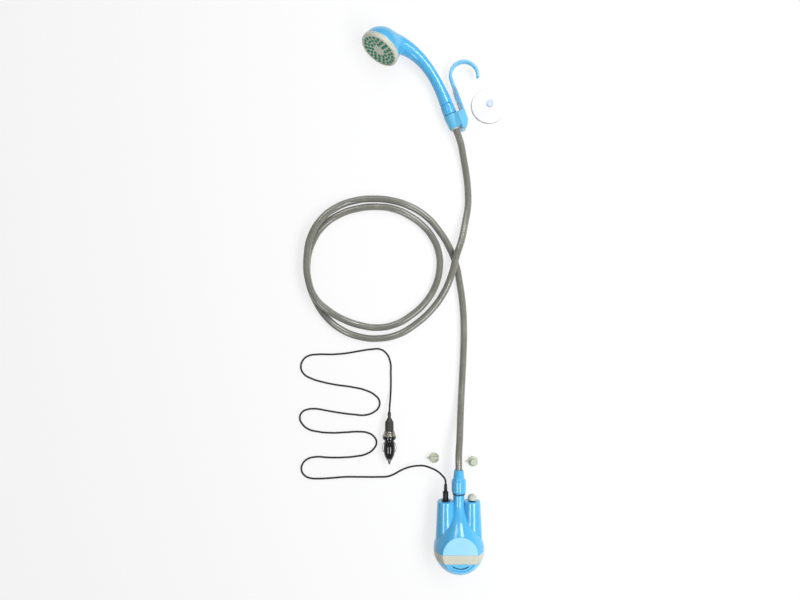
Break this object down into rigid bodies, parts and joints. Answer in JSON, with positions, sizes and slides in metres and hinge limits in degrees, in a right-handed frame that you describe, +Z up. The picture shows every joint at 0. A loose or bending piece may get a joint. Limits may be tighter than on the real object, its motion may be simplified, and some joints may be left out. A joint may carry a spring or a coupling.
{
  "type": "camp shower pump",
  "caption": "Portable camp shower: submersible pump with a flared body and towers, loose hose, hand shower, hook holder, suction cup and a low-voltage lead with a car socket plug.",
  "frame": {"origin": "on the table under the middle of the pump's bulb, on the pump's flat back", "axes": "+Y along the pump's axis from its bulb to its outlet and on to the hand shower, +X to the right of the pump seen from its front panel, +Z up from the table, out of the front panel"},
  "size_m": [0.3626, 0.9249, 0.0695],
  "materials": {
    "blue_shell": "glossy moulded plastic",
    "panel_blue": "glossy pale blue moulded plastic",
    "band_grey": "satin grey moulded plastic",
    "cap_blue": "glossy moulded plastic",
    "soft_grey": "matte grey rubber",
    "hose_grey": "smooth grey flexible vinyl",
    "nozzle_teal": "matte green rubber",
    "holder_blue": "glossy pale blue moulded plastic",
    "cup_clear": "clear soft vinyl",
    "lead_black": "matte black vinyl",
    "plug_black": "glossy black moulded plastic",
    "grip_grey": "satin dark grey plastic",
    "bright_metal": "bright plated metal",
    "plain_steel": "plain steel",
    "magnet": "dark ferrite",
    "winding": "enamelled winding",
    "tail_brass": "machined brass",
    "seal_black": "black sealing rubber",
    "works_white": "white moulded plastic"
  },
  "bodies": {
    "pump": {"pump_body": "blue_shell", "front_panel": "panel_blue", "band_ring": "band_grey", "body_screws": "plain_steel", "motor_can": "plain_steel", "motor_end": "plug_black", "motor_magnets": "magnet", "motor_screws": "plain_steel", "pump_plate": "works_white", "shaft_seal": "seal_black", "plate_oring": "seal_black", "volute": "works_white", "plate_screws": "plain_steel", "inlet_strainer": "works_white", "outlet_pipe": "works_white", "dc_jack": "plug_black", "jack_nut": "plain_steel", "switch_body": "plug_black", "switch_nut": "plain_steel", "pump_wires": "lead_black", "outlet_gasket": "seal_black", "pump_tail": "tail_brass", "pump_washer": "seal_black", "hose_sleeve": "blue_shell", "hose": "hose_grey", "hose_cone": "band_grey", "head_tail": "tail_brass", "head_washer": "seal_black", "suction_cup": "cup_clear", "port_plug_left": "soft_grey", "port_plug_right": "soft_grey", "dc_plug": "lead_black", "dc_sleeve": "bright_metal", "cable": "lead_black", "car_plug_grip": "grip_grey", "car_plug_ring": "bright_metal", "car_plug_body": "plug_black", "car_plug_nose": "bright_metal", "car_tip_spring": "plain_steel", "car_plug_fuse": "bright_metal"},
    "rotor": {"motor_shaft": "plain_steel", "motor_armature": "winding", "impeller": "works_white"},
    "strainer": {"strainer_cap": "cap_blue"},
    "button": {"power_button": "soft_grey"},
    "outlet_coupling": {"outlet_nut": "blue_shell"},
    "hand_shower": {"handset": "blue_shell", "foot_nut": "blue_shell", "head_bezel": "band_grey", "spray_plate": "band_grey", "nozzle_sheet": "nozzle_teal", "head_seal": "seal_black"},
    "holder": {"hook_holder": "holder_blue"},
    "tip": {"car_plug_tip": "bright_metal"},
    "contact_left": {"car_contact_left": "bright_metal"},
    "contact_right": {"car_contact_right": "bright_metal"}
  },
  "joints": [
    {"name": "impeller_spin", "type": "hinge", "parent": "pump", "child": "rotor", "pos_m": [0, 0, 0.03], "axis": [0, 1, 0], "continuous": true},
    {"name": "strainer_pull", "type": "slide", "parent": "pump", "child": "strainer", "axis": [0, -1, 0], "range_m": [0, 0.03]},
    {"name": "button_press", "type": "slide", "parent": "pump", "child": "button", "axis": [0, -1, 0], "range_m": [0, 0.0016], "stiffness_N_per_m": 600},
    {"name": "outlet_nut_turn", "type": "hinge", "parent": "pump", "child": "outlet_coupling", "pos_m": [0, 0.105, 0.03], "axis": [0, 1, 0], "continuous": true},
    {"name": "handset_swivel", "type": "hinge", "parent": "pump", "child": "hand_shower", "pos_m": [-0.02, 0.758, 0.015], "axis": [-0.3584, 0.9336, 0], "range_deg": [-90, 120]},
    {"name": "holder_swivel", "type": "hinge", "parent": "pump", "child": "holder", "pos_m": [-0.02, 0.758, 0.015], "axis": [-0.3584, 0.9336, 0], "range_deg": [-90, 90]},
    {"name": "tip_press", "type": "slide", "parent": "pump", "child": "tip", "axis": [0, 1, 0], "range_m": [0, 0.003], "stiffness_N_per_m": 900},
    {"name": "contact_left_press", "type": "slide", "parent": "pump", "child": "contact_left", "axis": [1, 0, 0], "range_m": [0, 0.002], "stiffness_N_per_m": 1500},
    {"name": "contact_right_press", "type": "slide", "parent": "pump", "child": "contact_right", "axis": [-1, 0, 0], "range_m": [0, 0.002], "stiffness_N_per_m": 1500}
  ]
}
